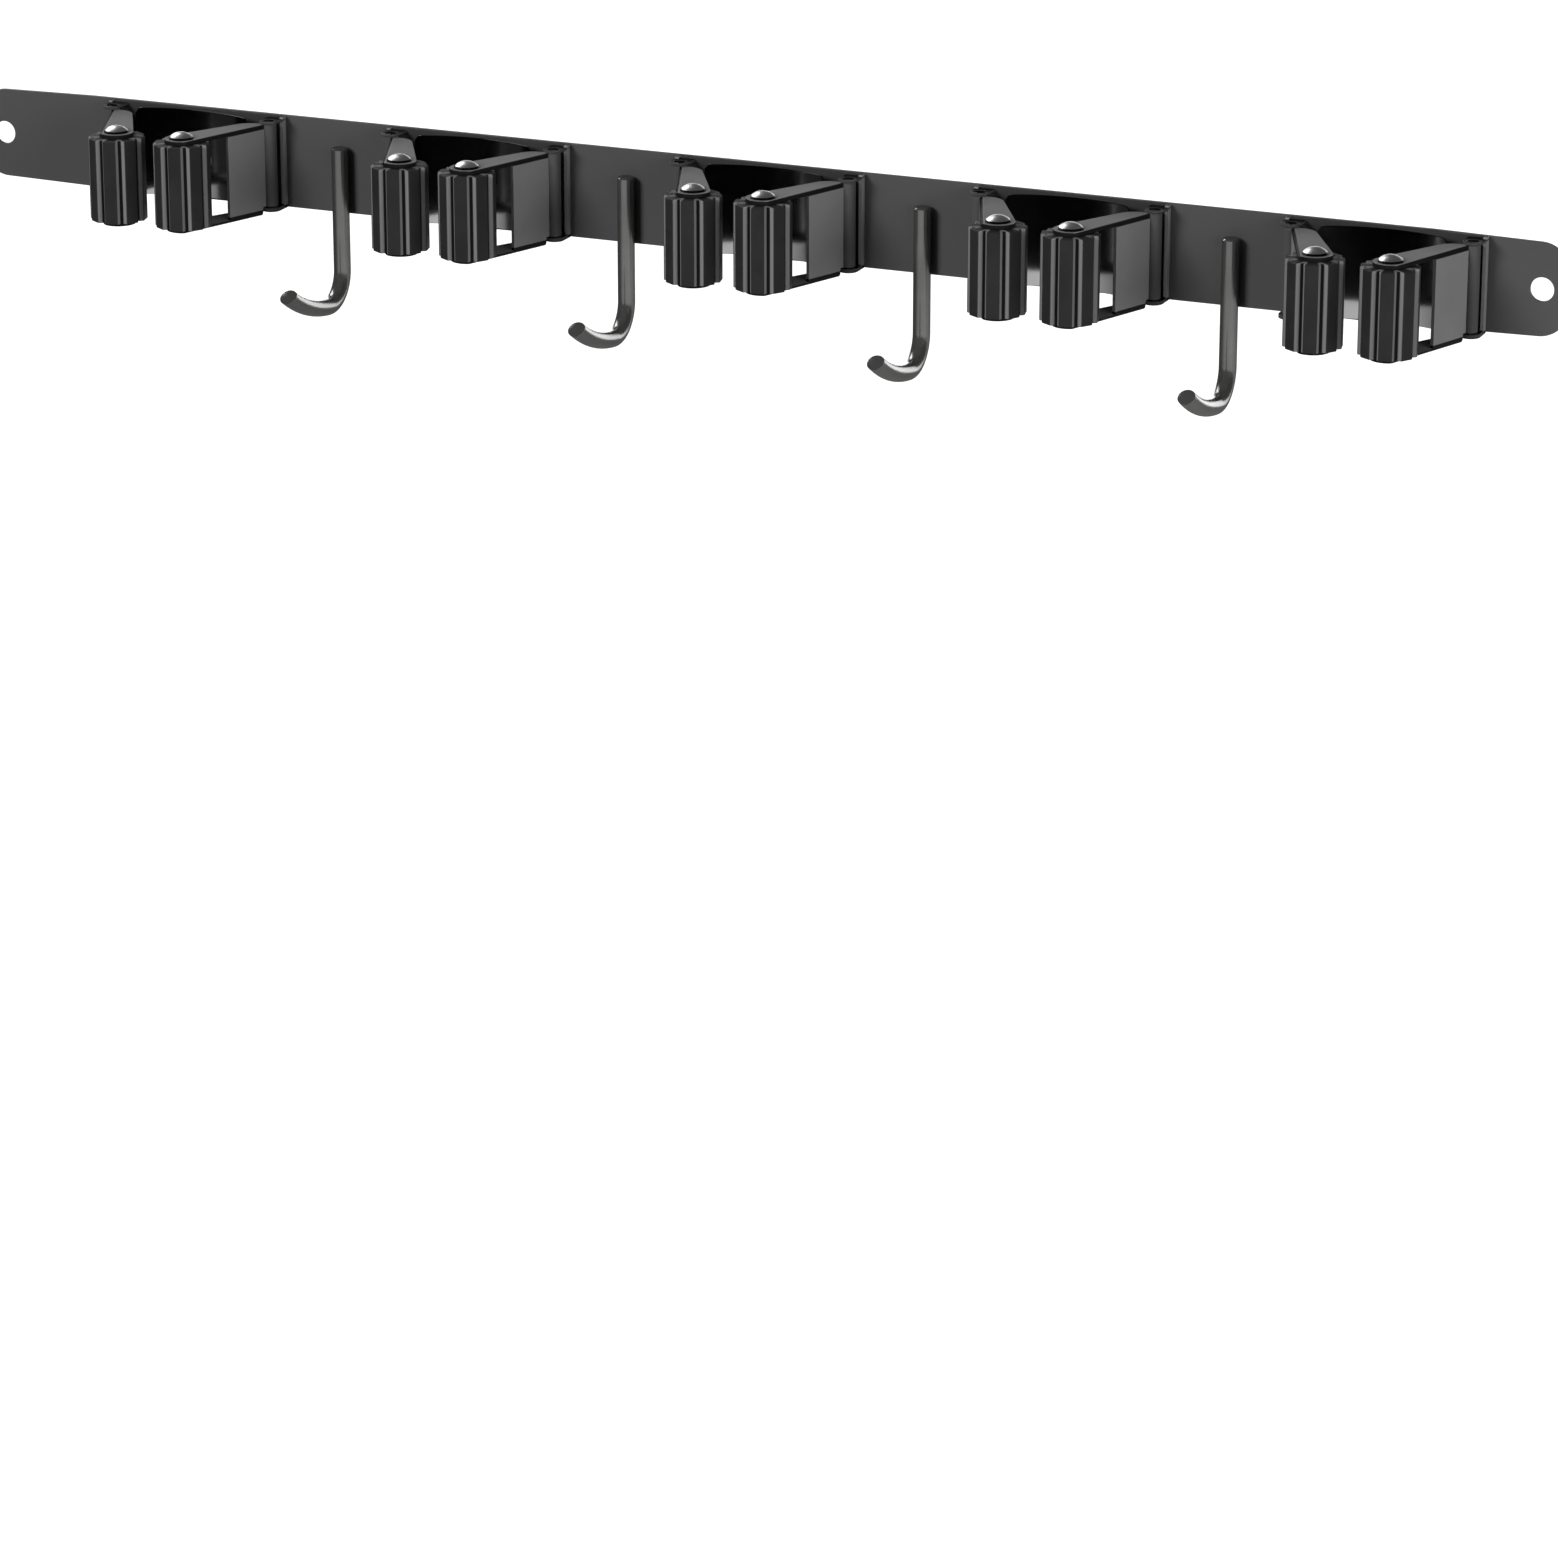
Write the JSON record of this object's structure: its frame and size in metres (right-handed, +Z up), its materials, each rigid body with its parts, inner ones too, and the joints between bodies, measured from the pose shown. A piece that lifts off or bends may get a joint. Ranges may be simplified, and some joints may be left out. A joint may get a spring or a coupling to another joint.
{
  "type": "wall mop holder rack",
  "caption": "Wall rack: a flat steel strip carrying sprung roller grips for mop and broom handles, with rod hooks between them.",
  "frame": {"origin": "middle of the back plate's rear face, midway between the two wall screw holes", "axes": "+X along the plate to the right seen from the room, +Y into the wall, +Z up"},
  "size_m": [0.508, 0.0426, 0.0577],
  "materials": {
    "plate_steel": "satin charcoal",
    "grip_steel": "satin grey",
    "rod_steel": "semi-gloss gunmetal",
    "spring_steel": "bright rolled",
    "pin_steel": "dark",
    "bright_steel": "polished",
    "roller_rubber": "matt, moulded ridges"
  },
  "bodies": {
    "rack": {"back_plate": "plate_steel", "hook_1": "rod_steel", "hook_2": "rod_steel", "hook_3": "rod_steel", "hook_4": "rod_steel", "clip_base_1": "grip_steel", "clip_base_2": "grip_steel", "clip_base_3": "grip_steel", "clip_base_4": "grip_steel", "clip_base_5": "grip_steel", "hinge_pins_1": "pin_steel", "hinge_pins_2": "pin_steel", "hinge_pins_3": "pin_steel", "hinge_pins_4": "pin_steel", "hinge_pins_5": "pin_steel", "leaf_spring_1": "spring_steel", "leaf_spring_2": "spring_steel", "leaf_spring_3": "spring_steel", "leaf_spring_4": "spring_steel", "leaf_spring_5": "spring_steel", "base_rivet_1": "bright_steel", "base_rivet_2": "bright_steel", "base_rivet_3": "bright_steel", "base_rivet_4": "bright_steel", "base_rivet_5": "bright_steel"},
    "left_grip_1": {"left_arm_1": "grip_steel", "left_roller_pin_1": "bright_steel"},
    "left_roll_1": {"left_roller_1": "roller_rubber"},
    "right_grip_1": {"right_arm_1": "grip_steel", "right_roller_pin_1": "bright_steel"},
    "right_roll_1": {"right_roller_1": "roller_rubber"},
    "left_grip_2": {"left_arm_2": "grip_steel", "left_roller_pin_2": "bright_steel"},
    "left_roll_2": {"left_roller_2": "roller_rubber"},
    "right_grip_2": {"right_arm_2": "grip_steel", "right_roller_pin_2": "bright_steel"},
    "right_roll_2": {"right_roller_2": "roller_rubber"},
    "left_grip_3": {"left_arm_3": "grip_steel", "left_roller_pin_3": "bright_steel"},
    "left_roll_3": {"left_roller_3": "roller_rubber"},
    "right_grip_3": {"right_arm_3": "grip_steel", "right_roller_pin_3": "bright_steel"},
    "right_roll_3": {"right_roller_3": "roller_rubber"},
    "left_grip_4": {"left_arm_4": "grip_steel", "left_roller_pin_4": "bright_steel"},
    "left_roll_4": {"left_roller_4": "roller_rubber"},
    "right_grip_4": {"right_arm_4": "grip_steel", "right_roller_pin_4": "bright_steel"},
    "right_roll_4": {"right_roller_4": "roller_rubber"},
    "left_grip_5": {"left_arm_5": "grip_steel", "left_roller_pin_5": "bright_steel"},
    "left_roll_5": {"left_roller_5": "roller_rubber"},
    "right_grip_5": {"right_arm_5": "grip_steel", "right_roller_pin_5": "bright_steel"},
    "right_roll_5": {"right_roller_5": "roller_rubber"}
  },
  "joints": [
    {"name": "left_arm_1_swing", "type": "hinge", "parent": "rack", "child": "left_grip_1", "pos_m": [-0.2044, -0.0072, 0], "axis": [0, 0, -1], "range_deg": [0, 35], "stiffness_Nm_per_rad": 0.3, "springref_deg": -28.65},
    {"name": "left_roller_1_spin", "type": "hinge", "parent": "left_grip_1", "child": "left_roll_1", "pos_m": [-0.1886, -0.034, 0], "axis": [0, 0, 1], "continuous": true},
    {"name": "right_arm_1_swing", "type": "hinge", "parent": "rack", "child": "right_grip_1", "pos_m": [-0.1508, -0.0072, 0], "axis": [0, 0, 1], "range_deg": [0, 35], "stiffness_Nm_per_rad": 0.3, "springref_deg": -28.65},
    {"name": "right_roller_1_spin", "type": "hinge", "parent": "right_grip_1", "child": "right_roll_1", "pos_m": [-0.1666, -0.034, 0], "axis": [0, 0, 1], "continuous": true},
    {"name": "left_arm_2_swing", "type": "hinge", "parent": "rack", "child": "left_grip_2", "pos_m": [-0.1099, -0.0072, 0], "axis": [0, 0, -1], "range_deg": [0, 35], "stiffness_Nm_per_rad": 0.3, "springref_deg": -28.65},
    {"name": "left_roller_2_spin", "type": "hinge", "parent": "left_grip_2", "child": "left_roll_2", "pos_m": [-0.0941, -0.034, 0], "axis": [0, 0, 1], "continuous": true},
    {"name": "right_arm_2_swing", "type": "hinge", "parent": "rack", "child": "right_grip_2", "pos_m": [-0.0563, -0.0072, 0], "axis": [0, 0, 1], "range_deg": [0, 35], "stiffness_Nm_per_rad": 0.3, "springref_deg": -28.65},
    {"name": "right_roller_2_spin", "type": "hinge", "parent": "right_grip_2", "child": "right_roll_2", "pos_m": [-0.0721, -0.034, 0], "axis": [0, 0, 1], "continuous": true},
    {"name": "left_arm_3_swing", "type": "hinge", "parent": "rack", "child": "left_grip_3", "pos_m": [-0.0154, -0.0072, 0], "axis": [0, 0, -1], "range_deg": [0, 35], "stiffness_Nm_per_rad": 0.3, "springref_deg": -28.65},
    {"name": "left_roller_3_spin", "type": "hinge", "parent": "left_grip_3", "child": "left_roll_3", "pos_m": [0.0004, -0.034, 0], "axis": [0, 0, 1], "continuous": true},
    {"name": "right_arm_3_swing", "type": "hinge", "parent": "rack", "child": "right_grip_3", "pos_m": [0.0382, -0.0072, 0], "axis": [0, 0, 1], "range_deg": [0, 35], "stiffness_Nm_per_rad": 0.3, "springref_deg": -28.65},
    {"name": "right_roller_3_spin", "type": "hinge", "parent": "right_grip_3", "child": "right_roll_3", "pos_m": [0.0224, -0.034, 0], "axis": [0, 0, 1], "continuous": true},
    {"name": "left_arm_4_swing", "type": "hinge", "parent": "rack", "child": "left_grip_4", "pos_m": [0.0791, -0.0072, 0], "axis": [0, 0, -1], "range_deg": [0, 35], "stiffness_Nm_per_rad": 0.3, "springref_deg": -28.65},
    {"name": "left_roller_4_spin", "type": "hinge", "parent": "left_grip_4", "child": "left_roll_4", "pos_m": [0.0949, -0.034, 0], "axis": [0, 0, 1], "continuous": true},
    {"name": "right_arm_4_swing", "type": "hinge", "parent": "rack", "child": "right_grip_4", "pos_m": [0.1327, -0.0072, 0], "axis": [0, 0, 1], "range_deg": [0, 35], "stiffness_Nm_per_rad": 0.3, "springref_deg": -28.65},
    {"name": "right_roller_4_spin", "type": "hinge", "parent": "right_grip_4", "child": "right_roll_4", "pos_m": [0.1169, -0.034, 0], "axis": [0, 0, 1], "continuous": true},
    {"name": "left_arm_5_swing", "type": "hinge", "parent": "rack", "child": "left_grip_5", "pos_m": [0.1736, -0.0072, 0], "axis": [0, 0, -1], "range_deg": [0, 35], "stiffness_Nm_per_rad": 0.3, "springref_deg": -28.65},
    {"name": "left_roller_5_spin", "type": "hinge", "parent": "left_grip_5", "child": "left_roll_5", "pos_m": [0.1894, -0.034, 0], "axis": [0, 0, 1], "continuous": true},
    {"name": "right_arm_5_swing", "type": "hinge", "parent": "rack", "child": "right_grip_5", "pos_m": [0.2272, -0.0072, 0], "axis": [0, 0, 1], "range_deg": [0, 35], "stiffness_Nm_per_rad": 0.3, "springref_deg": -28.65},
    {"name": "right_roller_5_spin", "type": "hinge", "parent": "right_grip_5", "child": "right_roll_5", "pos_m": [0.2114, -0.034, 0], "axis": [0, 0, 1], "continuous": true}
  ]
}
